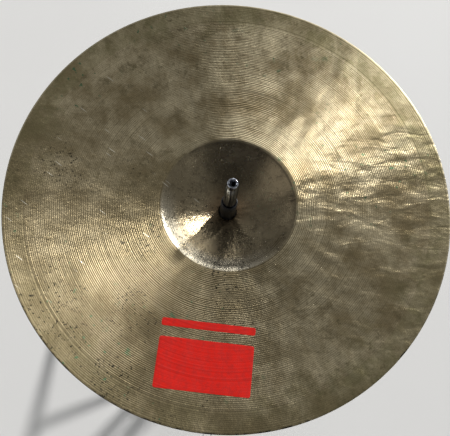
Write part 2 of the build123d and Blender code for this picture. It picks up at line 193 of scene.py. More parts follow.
def bronze():
    """Tarnished bronze, lathed and hammered, worn round the hole and olive along the rim."""
    coat = Surface("cymbal_bronze", Metallic=1.0, Anisotropic=0.74, Anisotropic_Rotation=0.25)
    tangent = coat.add("Tangent", direction_type="RADIAL", axis="Z")
    coat.set("Tangent", tangent.outputs[0])
    times, above, over = coat.times, coat.spread, coat.over
    noise, facing = coat.noise, coat.facing
    out, unit = coat.plan()
    band = above(out, BAND_RADIUS - 0.4 * MM, BAND_RADIUS + 0.4 * MM)
    bell = above(out, BELL_RADIUS + 1.5 * MM, BELL_RADIUS - 0.5 * MM)
    # mask of the side facing 38 degrees in plan: it gathers the dark specks and carries painted shade over
    # that side
    pitted = above(facing(unit, 38), 0.1, 0.95)
    rippled = above(facing(unit, 168), 0.45, 0.95)

    # the lathe's grooves: an even pitch with a little wander, fading towards the rim
    wander = times(coat.ripple(out, 160, 2), 5.0)
    wave = coat.math("SINE", coat.math("ADD", times(out, 2 * pi / (1.42 * MM)), wander))
    grooves = coat.math("ADD", times(wave, 0.36), times(coat.ripple(out, 900, 3), 1.0))
    worn = above(noise(13, 3), 0.34, 0.66, 0.35, 1.0)
    plain = coat.math("MAXIMUM", times(band, 0.45), times(bell, 0.85))
    lathed = times(worn, coat.math("SUBTRACT", 1.0, plain))
    lathed = times(lathed, above(out, 0.165, 0.075, 0.42, 1.0))

    clouds = noise(26, 5, roughness=0.66)
    blotches = noise(85, 5, roughness=0.7)
    grain = noise(420, 4, roughness=0.75)
    grime = noise(10, 4, roughness=0.6)
    coat.paint(above(clouds, 0.33, 0.67), (0.305, 0.238, 0.130), (0.570, 0.485, 0.315))
    over(above(blotches, 0.46, 0.72, 0, 0.62), (0.205, 0.158, 0.082))
    over(above(grime, 0.5, 0.68, 0, 0.4), (0.200, 0.168, 0.092))
    over(times(above(grooves, 0.42, 0.88, 0, 0.8), lathed), (0.135, 0.108, 0.060))
    over(above(grain, 0.52, 0.74, 0, 0.45), (0.150, 0.122, 0.070))
    stains = above(noise(120, 4, roughness=0.75), 0.53, 0.66)
    over(times(stains, above(grime, 0.4, 0.6, 0.25, 0.8)), (0.160, 0.132, 0.072))
    over(times(band, 0.35), (0.255, 0.220, 0.112))
    mossy = times(above(noise(38, 4, roughness=0.7), 0.48, 0.6), above(out, 0.120, 0.172))
    over(times(mossy, 0.42), (0.195, 0.176, 0.080))
    # painted shade: the whole side facing 38 degrees in plan darkened
    over(times(pitted, 0.72), (0.165, 0.130, 0.072))

    # the bell: browner and darker, rubbed brown round the hole
    over(times(bell, 0.80), (0.228, 0.186, 0.118))
    # painted shade: the bell's wall on the side facing -140 degrees in plan darkened
    painted_shade_bell_side = above(facing(unit, -140), -0.1, 0.9, 0, 0.6)
    over(times(bell, painted_shade_bell_side), (0.095, 0.072, 0.044))
    ragged = coat.math("ADD", out, times(clouds, 0.024))
    over(times(above(ragged, 0.040, 0.016), 0.6), (0.155, 0.090, 0.045))
    # painted highlight: a pale crescent on the bell's wall facing 60 degrees in plan
    painted_highlight_crescent = times(above(out, 0.040, 0.052), times(bell, above(facing(unit, 60), 0.1, 0.9)))
    over(times(painted_highlight_crescent, 0.75), (0.60, 0.55, 0.43))
    crust = times(above(noise(150, 5, roughness=0.8), 0.5, 0.7), bell)
    over(times(crust, 0.7), (0.060, 0.046, 0.030))

    speck = above(noise(430, 3, roughness=0.65), 0.585, 0.64)
    patch = above(noise(24, 3), 0.44, 0.58)
    over(times(times(speck, patch), above(pitted, 0, 0.8, 0.15, 0.95)), (0.030, 0.027, 0.020))
    green = times(above(noise(190, 3), 0.655, 0.71), above(noise(9, 2), 0.48, 0.62))
    over(times(green, 0.8), (0.075, 0.160, 0.085))
    nicks = above(noise(130, 3, roughness=0.7), 0.5, 0.62)
    edge = above(out, RIM_RADIUS - 1.5 * MM, RIM_RADIUS - 0.7 * MM)
    shaded = above(facing(unit, 75), -0.25, 0.55)
    # painted shade: a dark nicked line along the rim edge on the side facing 75 degrees in plan
    over(times(edge, times(shaded, nicks)), (0.045, 0.038, 0.026))
    # painted highlight: a pale line along the rim edge on the other side
    over(times(edge, above(shaded, 1.0, 0.0, 0, 0.6)), (0.62, 0.54, 0.37))
    scratches = coat.dashes(radians(35), 13 * MM, 1.1 * MM, 0.03, 0.36)
    scratches = times(scratches, above(facing(unit, -12), 0.55, 0.9))
    skyward = coat.axes(coat.add("NewGeometry").outputs["Normal"])[2]
    scratches = times(scratches, above(skyward, 0.2, 0.5))
    over(times(scratches, 0.75), (0.74, 0.69, 0.56))

    rough = above(clouds, 0.3, 0.7, 0.31, 0.44)
    rough = coat.math("SUBTRACT", rough, times(bell, 0.13))
    rough = coat.math("ADD", rough, times(above(grain, 0.5, 0.7), 0.08))
    coat.set("Roughness", rough)

    normal = coat.bump(times(grooves, lathed), 0.36 * MM, 0.95)
    sweep = noise(42, 2, coat.scaled((1, 2.4, 0)), 0.4, 0.6)
    normal = coat.bump(times(sweep, above(rippled, 0, 1, 0.15, 1.0)), 1.0 * MM, 0.75, normal)
    normal = coat.bump(blotches, 0.42 * MM, 0.7, normal)
    normal = coat.bump(grain, 0.12 * MM, 0.9, normal)
    coat.set("Normal", normal)
    return coat.material


def chrome():
    """Bright chrome plate with handling smears, fine pits and painted dark reflection streaks along its
    length.
    """
    coat = Surface("bright_chrome", Metallic=1.0)
    smears = coat.noise(35, 4, coat.scaled((1, 1, 0.25)), 0.6)
    pits = coat.spread(coat.noise(900, 2), 0.68, 0.76)
    coat.paint(coat.spread(smears, 0.35, 0.7), (0.52, 0.54, 0.59), (0.30, 0.31, 0.35))
    # painted reflection: thin dark streaks along the length
    streaks = coat.noise(420, 2, coat.scaled((1, 1, 0.04)))
    coat.over(coat.spread(streaks, 0.5, 0.6), (0.05, 0.05, 0.075))
    coat.over(coat.times(pits, 0.6), (0.16, 0.15, 0.14))
    coat.set("Roughness", coat.spread(smears, 0.35, 0.75, 0.06, 0.2))
    coat.set("Normal", coat.bump(coat.noise(300, 3), 0.02 * MM, 0.5))
    return coat.material


def black_nylon():
    """Black moulded nylon, scuffed lighter."""
    coat = Surface("black_nylon", Specular_IOR_Level=0.5)
    scuffs = coat.noise(180, 4, coat.scaled((1, 1, 0.3)), 0.65)
    coat.paint(coat.spread(scuffs, 0.5, 0.75), (0.012, 0.012, 0.013), (0.07, 0.068, 0.065))
    coat.set("Roughness", coat.spread(scuffs, 0.35, 0.75, 0.28, 0.55))
    coat.set("Normal", coat.bump(coat.noise(500, 3), 0.05 * MM, 0.5))
    return coat.material


def red_ink():
    """Screen-printed red ink, thin enough for the lathe grooves to show."""
    coat = Surface("red_ink", Specular_IOR_Level=0.2)
    worn = coat.noise(260, 4, roughness=0.7)
    grooves = coat.ripple(coat.vector("LENGTH", coat.scaled((1, 1, 0))), 520, 2)
    coat.paint(coat.spread(worn, 0.35, 0.7), (0.60, 0.009, 0.003), (0.45, 0.007, 0.003))
    coat.over(coat.spread(grooves, 0.5, 0.75, 0, 0.3), (0.34, 0.008, 0.004))
    coat.set("Roughness", coat.spread(worn, 0.3, 0.7, 0.38, 0.55))
    coat.set("Normal", coat.bump(grooves, 0.2 * MM, 0.7))
    return coat.material


def plated(name, bright, dull, rough, scale=60, stretch=(1, 1, 1), pitted=0.3, bump=0.03):
    """Metal with cloudy tarnish, fine pits and a faint grain."""
    coat = Surface(name, Metallic=1.0)
    clouds = coat.noise(scale, 5, coat.scaled(stretch), 0.62)
    dirt = coat.noise(scale * 0.35, 3)
    fine = coat.noise(scale * 9, 3, coat.scaled(stretch), 0.6)
    coat.paint(coat.spread(clouds, 0.22, 0.78), bright, dull)
    coat.over(coat.spread(dirt, 0.45, 0.85, 0, 0.4), tuple(value * 0.45 for value in dull))
    pits = coat.times(coat.spread(fine, 0.62, 0.72), pitted)
    coat.over(pits, (0.10, 0.09, 0.08))
    coat.set("Roughness", coat.spread(clouds, 0.15, 0.85, *rough))
    normal = coat.bump(fine, bump * MM, 0.7)
    coat.set("Normal", coat.bump(clouds, bump * 3 * MM, 0.4, normal))
    return coat.material


def cast_board():
    """Tumbled cast aluminium, rubbed brighter along the middle by the shoe, grimy elsewhere."""
    coat = Surface("cast_board", Metallic=1.0)
    across = coat.axes()[0]
    worn = coat.spread(coat.math("ABSOLUTE", across), 0.034, 0.010)
    clouds = coat.noise(45, 5, roughness=0.65)
    sand = coat.noise(900, 2)
    rubbed = coat.noise(90, 4, coat.scaled((1, 0.08, 1)), 0.7)
    coat.paint(coat.spread(clouds, 0.3, 0.7), (0.52, 0.525, 0.53), (0.34, 0.34, 0.335))
    coat.over(coat.times(worn, coat.spread(rubbed, 0.4, 0.65)), (0.70, 0.70, 0.695))
    coat.over(coat.spread(coat.noise(20, 4), 0.52, 0.7, 0, 0.45), (0.16, 0.15, 0.135))
    rough = coat.spread(clouds, 0.3, 0.7, 0.38, 0.56)
    coat.set("Roughness", coat.math("SUBTRACT", rough, coat.times(worn, 0.12)))
    coat.set("Normal", coat.bump(clouds, 0.12 * MM, 0.5, coat.bump(sand, 0.05 * MM, 0.7)))
    return coat.material


def oily_chain():
    """Dark chain steel with brown oil in the hollows and bright rubbed spots."""
    coat = Surface("oily_chain", Metallic=0.9)
    oil = coat.noise(220, 4, roughness=0.65)
    rub = coat.noise(420, 3)
    coat.paint(coat.spread(oil, 0.35, 0.65), (0.36, 0.35, 0.34), (0.085, 0.062, 0.040))
    coat.over(coat.spread(rub, 0.58, 0.7), (0.55, 0.54, 0.52))
    coat.set("Roughness", coat.spread(oil, 0.35, 0.65, 0.42, 0.22))
    coat.set("Normal", coat.bump(oil, 0.06 * MM, 0.6))
    return coat.material


def moulded(name, base, pale, rough, scale=160, dust=0.35, bump=0.05):
    """Moulded plastic or rubber: fine skin, scuffs, and dust on what faces up."""
    coat = Surface(name)
    scuffs = coat.noise(scale, 5, coat.scaled((1, 1, 0.4)), 0.68)
    skin = coat.noise(scale * 6, 3)
    coat.paint(coat.spread(scuffs, 0.48, 0.75), base, pale)
    facing = coat.add("NewGeometry").outputs["Normal"]
    upward = coat.spread(coat.axes(facing)[2], 0.3, 1.0, 0, dust)
    settled = coat.times(upward, coat.spread(coat.noise(70, 4), 0.4, 0.65))
    dusty = tuple(value * 0.6 + 0.16 for value in base)
    coat.over(settled, dusty)
    coat.set("Roughness", coat.spread(scuffs, 0.3, 0.75, *rough))
    coat.set("Normal", coat.bump(scuffs, bump * MM, 0.5, coat.bump(skin, bump * 0.6 * MM, 0.6)))
    return coat.material


def wool_felt():
    """Pressed grey-black felt with loose pale fibres."""
    coat = Surface("wool_felt", Roughness=0.95, Sheen_Weight=0.5, Sheen_Roughness=0.4)
    fibres = coat.noise(700, 5, coat.scaled((1, 1, 2.5)), 0.8, 1.2)
    tufts = coat.noise(150, 4, roughness=0.7)
    coat.paint(coat.spread(tufts, 0.35, 0.65), (0.050, 0.047, 0.045), (0.105, 0.100, 0.095))
    coat.over(coat.spread(fibres, 0.56, 0.7), (0.30, 0.29, 0.27))
    coat.set("Normal", coat.bump(tufts, 0.5 * MM, 0.7, coat.bump(fibres, 0.25 * MM, 0.9)))
    return coat.material


# -------- mesh helpers
def dress(names, material, soften=0.0):
    """Give CAD nodes a material, and small rounded edges where a width in millimetres is given."""
    for name in names:
        node = nodes[name]
        node.data.materials.clear()
        node.data.materials.append(material)
        for layer in ("custom_normal", "sharp_face", "sharp_edge"):
            if layer in node.data.attributes:
                node.data.attributes.remove(node.data.attributes[layer])
        weld = node.modifiers.new("weld", "WELD")
        weld.merge_threshold = 0.002 * MM
        if soften:
            bevel = node.modifiers.new("edges", "BEVEL")
            bevel.width = soften * MM
            bevel.segments = 2
            bevel.limit_method = "ANGLE"
            bevel.angle_limit = radians(40)
            bevel.use_clamp_overlap = False
            bevel.miter_outer = "MITER_ARC"
            bevel.harden_normals = False
        weighted = node.modifiers.new("shading", "WEIGHTED_NORMAL")
        weighted.keep_sharp = True
        node.data.shade_smooth()


def piece(name, mesh, material, body, replaced=()):
    """Put a finished mesh into the scene as one piece that rides on a body."""
    thing = bpy.data.objects.new(name, mesh)
    bpy.context.scene.collection.objects.link(thing)
    thing.data.materials.append(material)
    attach(thing, body)
    if replaced:
        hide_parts(*replaced)
    return thing


def shade(mesh, degrees_sharp=35):
    """Smooth shading with edges kept sharp above an angle."""
    mesh.shade_smooth()
    mesh.set_sharp_from_angle(angle=radians(degrees_sharp))
    return mesh


def ring_faces(count, around, closed=True, base=0):
    """Quads between closed rings of points; the last ring joins the first if closed."""
    faces = []
    for row in range(count if closed else count - 1):
        low, high = base + row * around, base + (row + 1) % count * around
        for step in range(around):
            turn = (step + 1) % around
            faces.append((low + step, low + turn, high + turn, high + step))
    return faces


def rings_mesh(name, rows):
    """Closed mesh from rows of points, each row a ring; the last row joins the first."""
    mesh = bpy.data.meshes.new(name)
    points = [tuple(point) for row in rows for point in row]
    mesh.from_pydata(points, [], ring_faces(len(rows), len(rows[0])))
    mesh.update()
    return mesh


def lathe(name, outline, around=64):
    """Closed solid of revolution from a closed (radius, height) outline in millimetres."""
    angles = [2 * pi * step / around for step in range(around)]
    rows = [
        [(out * cos(angle) * MM, out * sin(angle) * MM, height * MM) for angle in angles]
        for out, height in outline
    ]
    return shade(rings_mesh(name, rows), 30)


# -------- cymbal
def smooth_min(first, second, width):
    share = np.clip(0.5 + 0.5 * (second - first) / width, 0, 1)
    return second * (1 - share) + first * share - width * share * (1 - share)


def hollow_side(out):
    """Height of the cymbal's hollow side at a radius, before hammering."""
    out = np.asarray(out, float)
    bow = RIM_HEIGHT - (RIM_RADIUS**2 - out**2) / (2 * BOW_SPHERE)
    sphere = (BELL_RADIUS**2 + BELL_DEPTH**2) / (2 * BELL_DEPTH)
    bell_low = RIM_HEIGHT - BOW_DEPTH - BELL_DEPTH
    bell = bell_low + sphere - np.sqrt(np.maximum(sphere**2 - out**2, 0))
    return smooth_min(bow, bell, 4 * MM)


def turned_rings(out):
    """The few rings that the lathe left deeper than the rest."""
    height = np.zeros_like(out)
    for middle, depth, width in (
        (BAND_RADIUS, 0.07, 0.5),
        (BAND_RADIUS - 2.6 * MM, 0.04, 0.5),
        (BAND_RADIUS + 4.0 * MM, 0.04, 0.6),
        (RIM_RADIUS - 2.2 * MM, 0.05, 0.6),
        (100 * MM, 0.06, 0.7),
        (BELL_RADIUS + 4.0 * MM, 0.08, 0.6),
        (BELL_RADIUS + 1.6 * MM, -0.10, 0.8),
        (BELL_RADIUS + 0.2 * MM, 0.24, 0.7),
    ):
        height -= depth * MM * np.exp(-(((out - middle) / (width * MM)) ** 2))
    return height


def hammer_marks():
    """Dents in rings over the bow: x, y, radial and sideways reach, depth."""
    random = np.random.default_rng(14)
    marks = []
    for out in np.arange(66, 172, 9.5) * MM:
        count = int(2 * pi * out / (12.5 * MM))
        for index in range(count):
            angle = 2 * pi * (index + random.uniform(-0.3, 0.3)) / count
            place = out + random.uniform(-2.5, 2.5) * MM
            wave = 0.5 + 0.5 * cos(angle - radians(168))
            reach = random.uniform(4.0, 6.5) * MM
            depth = random.uniform(0.05, 0.15) * MM * (0.7 + 0.9 * wave)
            marks.append((angle, place, reach * (1 + 0.8 * wave), reach * (1 - 0.25 * wave), depth))
    return marks


def hammering(x, y):
    """Depth of the dents and of the slow waves between them."""
    out, angle = np.hypot(x, y), np.arctan2(y, x)
    height = 0.12 * MM * np.sin(3 * angle + 0.7) * np.clip((out - 0.07) / 0.1, 0, 1)
    height += 0.05 * MM * np.sin(x * 150 + 2 * np.sin(y * 90)) * np.sin(y * 130 + 1.3)
    for turn, place, along, across, depth in hammer_marks():
        aside = np.angle(np.exp(1j * (angle - turn))) * place
        height -= depth * np.exp(-(((out - place) / along) ** 2) - (aside / across) ** 2)
    fade = np.clip((out - BELL_RADIUS - 2 * MM) / (6 * MM), 0, 1)
    return height * fade


def stations():
    """Radii of the rings of vertices, closer together at the turned rings."""
    steps = list(np.arange(HOLE_RADIUS + 0.5 * MM, BELL_RADIUS - 4 * MM, 1.6 * MM))
    steps += list(np.arange(BELL_RADIUS - 4 * MM, BELL_RADIUS + 8 * MM, 0.55 * MM))
    steps += list(np.arange(BELL_RADIUS + 8 * MM, BAND_RADIUS - 2 * MM, 0.95 * MM))
    steps += list(np.arange(BAND_RADIUS - 2 * MM, BAND_RADIUS + 2 * MM, 0.3 * MM))
    steps += list(np.arange(BAND_RADIUS + 2 * MM, RIM_RADIUS - 0.6 * MM, 0.8 * MM))
    return np.array(steps)


def cymbal_mesh():
    """One closed skin: hollow side out to the rim, round the edge and back under to the hole."""
    upper = stations()
    under = upper[::3][::-1]
    edge = 0.35 * MM
    half = THICKNESS / 2
    rows = [(HOLE_RADIUS, -0.35 * MM), (HOLE_RADIUS + 0.12 * MM, -0.1 * MM)]
    rows += [(out, 0) for out in upper]
    rows += [(RIM_RADIUS - 0.25 * MM, -0.03 * MM), (RIM_RADIUS - 0.07 * MM, -edge * 0.6), (RIM_RADIUS, -half)]
    rows += [(RIM_RADIUS - 0.07 * MM, -THICKNESS + edge * 0.6)]
    rows += [(RIM_RADIUS - 0.25 * MM, -THICKNESS + 0.03 * MM)]
    rows += [(out, -THICKNESS) for out in under]
    rows += [(HOLE_RADIUS + 0.12 * MM, -THICKNESS + 0.1 * MM), (HOLE_RADIUS, -THICKNESS + 0.35 * MM)]
    out = np.array([row[0] for row in rows])[:, None]
    drop = np.array([row[1] for row in rows])[:, None]
    angle = np.linspace(0, 2 * pi, 288, endpoint=False)[None, :]
    x, y = out * np.cos(angle), out * np.sin(angle)
    z = hollow_side(out) + turned_rings(out) + drop + hammering(x, y)
    rows = np.stack([x, y, np.broadcast_to(z, x.shape)], axis=2)
    return shade(rings_mesh("bottom_cymbal_skin", rows), 60)


# -------- printed mark
def ink_patch(left, right, low, high, middle, lean):
    """Thin slab of ink over a leaning rectangle of the hollow side, in millimetres about a middle."""
    step = 1.5
    across = np.linspace(left, right, max(3, int((right - left) / step)))
    along = np.linspace(low, high, max(3, int((high - low) / step)))
    grid = []
    for v in along:
        for u in across:
            corner_u = min(u - left, right - u)
            corner_v = min(v - low, high - v)
            pull = 0.4 if corner_u < 0.1 and corner_v < 0.1 else 0.0
            u_in = u + (pull if u < (left + right) / 2 else -pull)
            v_in = v + (pull if v < (low + high) / 2 else -pull)
            x = middle[0] + (u_in * cos(lean) - v_in * sin(lean)) * MM
            y = middle[1] + (u_in * sin(lean) + v_in * cos(lean)) * MM
            grid.append((x, y))
    points = np.array(grid)
    z = hollow_side(np.hypot(points[:, 0], points[:, 1])) + hammering(points[:, 0], points[:, 1])
    width = len(across)
    corners = (0, 1, width + 1, width)
    faces = [
        tuple(row * width + column + corner for corner in corners)
        for row in range(len(along) - 1)
        for column in range(width - 1)
    ]
    return [(*point, height) for point, height in zip(grid, z)], faces


def printed_mark(material):
    """Generic mark: a plain block of ink with a thin rule beside its long edge."""
    middle = VIEW_TURN @ Vector((-4 * MM, 124 * MM, 0))
    lean = radians(4 - 10.8)
    bars = [(-36, 36, -12, 26), (-36, 36, -26, -20)]
    points, faces = [], []
    for left, right, low, high in bars:
        more, sides = ink_patch(left, right, low, high, middle, lean)
        faces += [tuple(index + len(points) for index in face) for face in sides]
        points += more
    mesh = bpy.data.meshes.new("printed_mark")
    mesh.from_pydata(points, [], faces)
    mesh.update()
    mesh.shade_smooth()
    mark = piece("printed_mark", mesh, material, "bottom_cymbal")
    slab = mark.modifiers.new("ink", "SOLIDIFY")
    slab.thickness = 0.1 * MM
    slab.offset = 0.4
    mark.modifiers.new("shading", "WEIGHTED_NORMAL")
    return mark


# -------- post through the hole
def extent(name):
    """Foot, top and reach along X of a CAD node, in millimetres."""
    low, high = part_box(name)
    return low.z / MM, high.z / MM, high.x / MM


def seat_sleeve(material):
    """Black sleeve with a collar at its top and shallow moulded rings."""
    base, top, outer = extent("seat_sleeve")
    bore = 5.65
    outline = [(bore, base), (outer, base), (outer, top - 9)]
    for ring in range(4):
        start = top - 9 + ring * 1.6
        outline += [(outer, start + 0.9), (outer - 0.35, start + 1.15), (outer, start + 1.4)]
    outline += [(outer, top - 0.5), (outer - 0.15, top - 0.15), (outer - 0.45, top)]
    outline += [(bore + 0.3, top), (bore, top - 0.3)]
    mesh = lathe("seat_sleeve_turned", outline)
    return piece("seat_sleeve_turned", mesh, material, "upper_tube", ["seat_sleeve"])


def rod_coupler(material):
    """Plated rod end with a chamfered rim, and thread turns down its socket."""
    base, top, outer = extent("rod_coupler")
    bore, depth, turns = 2.5, 14, 12
    outline = [(3.0, base), (outer - 0.5, base), (outer, base + 0.5)]
    for ring in (top - 52, top - 49):
        outline += [(outer, ring), (outer - 0.3, ring + 0.3), (outer - 0.3, ring + 0.7), (outer, ring + 1)]
    outline += [(outer, top - 2.6)]
    for step in range(5):
        angle = step * pi / 8
        outline.append((outer - 0.9 - 0.7 * (1 - cos(angle)), top - 0.9 * (1 - sin(angle))))
    outline += [(bore + 0.8, top), (bore + 0.3, top - 0.5)]
    for turn in range(turns):
        height = top - 0.7 - (depth - 1) * turn / turns
        outline += [(bore, height), (bore + 0.45, height - 0.5)]
    outline += [(bore, top - depth), (0.02, top - depth - 0.8), (0.02, base + 20), (3.0, base + 20)]
    mesh = lathe("rod_coupler_turned", outline)
    return piece("rod_coupler_turned", mesh, material, "pull_rod", ["rod_coupler"])


# -------- pieces of the stand
def along(start, direction):
    """Matrix that takes the upright axis to a direction from a starting point."""
    way = Vector(direction).normalized()
    return Matrix.Translation(Vector(start)) @ way.to_track_quat("Z", "Y").to_matrix().to_4x4()


def shift(x, y, z):
    """Move by millimetres."""
    return Matrix.Translation((x * MM, y * MM, z * MM))


def about(azimuth):
    return Matrix.Rotation(radians(azimuth), 4, "Z")


class Shapes:
    """Collects closed meshes, so that one piece can hold several solids."""

    def __init__(self):
        self.points, self.faces = [], []

    def rows(self, rows, place=None, closed=False):
        """Rings of points, stacked; open stacks get a cap at each end."""
        base, count, around = len(self.points), len(rows), len(rows[0])
        place = place or Matrix()
        self.points += [place @ Vector(point) for row in rows for point in row]
        self.faces += ring_faces(count, around, closed, base)
        if not closed:
            self.faces.append(tuple(base + step for step in reversed(range(around))))
            self.faces.append(tuple(base + (count - 1) * around + step for step in range(around)))
        return self

    def turned(self, outline, place=None, around=40, closed=False, shape=None):
        """Revolve a (radius, height) outline in millimetres; shape may change each radius."""
        rows = []
        for radius, height in outline:
            row = []
            for step in range(around):
                angle = 2 * pi * step / around
                out = shape(radius, height, angle) if shape else radius
                row.append((out * cos(angle) * MM, out * sin(angle) * MM, height * MM))
            rows.append(row)
        return self.rows(rows, place, closed)

    def slab(self, rows, half_x, half_y, corner, place=None):
        """Stack of rounded rectangles, each row (height, inset), in millimetres."""
        stack = []
        for height, inset in rows:
            ring = []
            radius = max(corner - inset, 0.15)
            for quarter, (side_x, side_y) in enumerate(((1, 1), (-1, 1), (-1, -1), (1, -1))):
                for step in range(6):
                    angle = (quarter + step / 5) * pi / 2
                    x = side_x * (half_x - inset - radius) + radius * cos(angle)
                    y = side_y * (half_y - inset - radius) + radius * sin(angle)
                    ring.append((x * MM, y * MM, height * MM))
            stack.append(ring)
        return self.rows(stack, place)

    def finish(self, name, material, body, slot, replaced=(), sharp=35):
        mesh = bpy.data.meshes.new(name)
        mesh.from_pydata(self.points, [], self.faces)
        mesh.update()
        build = bmesh.new()
        build.from_mesh(mesh)
        bmesh.ops.recalc_face_normals(build, faces=build.faces)
        build.to_mesh(mesh)
        build.free()
        return piece(name, shade(mesh, sharp), material, body, replaced)


def hexagonal(across):
    """Shape function for a hexagon whose corners are cut back by the outline's radius."""

    def shape(radius, height, angle):
        flat = across / 2 / cos((angle % (pi / 3)) - pi / 6)
        return min(radius, flat)

    return shape


def fluted(count, depth, low, high):
    """Shape function for grip flutes between two heights."""

    def shape(radius, height, angle):
        inside = 1 if low <= height <= high and radius > 5 else 0
        return radius - depth * inside * (0.5 + 0.5 * cos(count * angle)) ** 2

    return shape


def dome(radius, start, rise, steps=5):
    """Outline of a domed head from its edge to its crown."""
    return [
        (max(radius * cos(step * pi / 2 / steps), 0.02), start + rise * sin(step * pi / 2 / steps))
        for step in range(steps + 1)
    ]


def middle_of(name):
    low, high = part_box(name)
    return (low + high) / 2


def tension_knob(material):
    base, top, outer = extent("tension_knob")
    outline = [(3.5, base), (outer - 2.2, base), (outer - 0.6, base + 0.7), (outer, base + 1.9)]
    outline += [(outer, top - 1.9), (outer - 0.6, top - 0.7), (outer - 2.0, top), (10.6, top)]
    outline += [(10.1, top - 0.7), (7.6, top - 0.7), (7.1, top), (4.0, top), (3.5, top - 0.5)]
    shapes = Shapes().turned(outline, around=240, closed=True, shape=fluted(24, 1.1, base + 0.5, top - 0.5))
    shapes.finish("tension_knob_fluted", material, "tension_knob", "black_plastic", ["tension_knob"], 50)


def tilt_screw(material):
    low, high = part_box("tilt_screw")
    base, top = low.z / MM, high.z / MM
    place = Matrix.Translation((0, (low.y + high.y) / 2, 0))
    outline = [(0.02, base + 0.8), (3.4, base + 0.8), (3.9, base), (6.6, base), (7.7, base + 0.6)]
    outline += [(8.0, base + 1.6), (8.0, base + 8.4), (7.7, base + 9.4), (6.6, base + 10), (3.4, base + 10)]
    for turn in range(26):
        height = base + 10.4 + turn * 0.8
        outline += [(2.5, height), (2.2, height + 0.4)]
    outline += [(2.4, top - 1.4)] + dome(2.2, top - 1.2, 1.2, 3)
    shapes = Shapes().turned(outline, place, around=144, shape=fluted(16, 0.8, base + 0.5, base + 9.5))
    shapes.finish("tilt_screw_fluted", material, "tilt_screw", "black_plastic", ["tilt_screw"], 50)


def blunt(share, start, run, least):
    """Factor that rounds a wing off towards its end."""
    return 1 if share < start else sqrt(max(1 - ((share - start) / run) ** 2, least))


def wing_bolt(name, body, place, length, material):
    """Forged wing bolt: threaded shank, waisted hub and two thin leaning wings."""
    shapes = Shapes()
    thread = [(2.95 if index % 2 else 2.62, 0.4 + index * 0.4) for index in range(int((length - 1) / 0.4))]
    outline = [(0.02, 0), (2.4, 0)] + thread
    outline += [(3.0, length - 0.2), (5.4, length - 0.1), (5.9, length + 0.4), (6.0, length + 1.4)]
    outline += [(5.3, length + 4.2), (4.9, length + 7), (4.7, length + 9.2), (4.1, length + 11.0)]
    outline += [(2.9, length + 11.9), (0.02, length + 12)]
    shapes.turned(outline, place @ shift(0, 0, -length), 40)
    for side in (-1, 1):
        rows = []
        for step in range(17):
            share = step / 16
            out = 1.5 + 15.2 * share
            forward = 5.0 + 13.4 * share**1.25
            reach = (3.4 + 1.6 * sin(pi * share**1.3)) * blunt(share, 0.8, 0.205, 0.01)
            thick = 2.3 - 1.0 * share + 0.5 * max(share - 0.7, 0) / 0.3
            thick *= blunt(share, 0.85, 0.155, 0.03)
            ring = []
            for index in range(20):
                angle = 2 * pi * index / 20
                ahead = reach * cos(angle)
                flat = thick * np.sign(sin(angle)) * abs(sin(angle)) ** 0.7
                ring.append((side * (out - 0.62 * ahead) * MM, flat * MM, (forward + 0.72 * ahead) * MM))
            rows.append(ring)
        shapes.rows(rows, place)
    shapes.finish(name, material, body, "hardware", [body], 40)


def rubber_feet(material):
    """Ribbed rubber tips, one on the end of each leg."""
    reach = middle_of("foot_1").y
    for number, azimuth in enumerate(LEG_AZIMUTHS, 1):
        outline = [(0.02, 0.6), (6.5, 0.6), (7.2, 0), (9.6, 0), (10.7, 0.7), (11, 2.0), (11, 4.0)]
        for rib in range(4):
            height = 4.4 + rib * 2.8
            outline += [(10.3, height), (10.3, height + 0.8), (10.95, height + 1.3), (10.95, height + 2.3)]
        outline += [(10.5, 16.6), (10.2, 18.4), (9.5, 19.6), (8.6, 20), (0.02, 20)]
        shapes = Shapes().turned(outline, about(azimuth) @ Matrix.Translation((reach, 0, 0)), 56)
        shapes.finish(f"foot_tip_{number}", material, f"leg_{number}", "black_rubber", [f"foot_{number}"], 40)


def pads(material):
    """Grooved rubber pads under the arch and the heel plate."""
    shapes = Shapes()
    for side in (-1, 1):
        rows = [(0, 0.9), (0.3, 0.2), (0.9, 0), (1.4, 0), (1.6, 0.5), (2.0, 0.5)]
        rows += [(2.2, 0), (3.6, 0), (3.95, 0.3)]
        shapes.slab(rows, 13, 8, 3, shift(side * 43, 0, 0))
    shapes.finish("base_pads_grooved", material, "base", "black_rubber", ["base_pads"])
    middle = middle_of("heel_pad")
    low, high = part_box("heel_pad")
    half = (high - low) / 2 / MM
    shapes = Shapes()
    rows = [(0, 0.9), (0.3, 0.2), (0.8, 0), (1.1, 0), (1.3, 0.5), (1.7, 0.5), (1.9, 0), (2.98, 0)]
    shapes.slab(rows, half.x, half.y, 5, Matrix.Translation((middle.x, middle.y, 0)))
    shapes.finish("heel_pad_grooved", material, "base", "black_rubber", ["heel_pad"])


def seat_felt(material):
    """Felt washer, softly rounded and pressed a little unevenly."""
    base, top, outer = extent("seat_felt")
    inner = 7.7
    middle, half = (base + top) / 2, (top - base) / 2
    outline = []
    for step in range(9):
        angle = -pi / 2 + pi * step / 8
        outline.append((outer - 1.4 + 1.4 * cos(angle), middle + half * sin(angle)))
    outline += [(outer - share * (outer - inner), top - 0.12 * sin(share * 9)) for share in (0.3, 0.5, 0.7)]
    for step in range(7):
        angle = pi / 2 + pi * step / 6
        outline.append((inner + 0.8 + 0.8 * cos(angle), middle + half * sin(angle) * 0.98))
    outline += [(inner + share * (outer - inner), base) for share in (0.35, 0.7)]

    def uneven(radius, height, angle):
        wave = 0.16 * sin(7 * angle + height) + 0.1 * sin(17 * angle + 2 * height) + 0.07 * sin(31 * angle)
        return radius - (0.3 + wave if radius > outer - 3 else 0)

    shapes = Shapes().turned(outline, around=160, closed=True, shape=uneven)
    felt = shapes.finish("seat_felt_pressed", material, "seat_tilt", "felt", ["seat_felt"], 70)


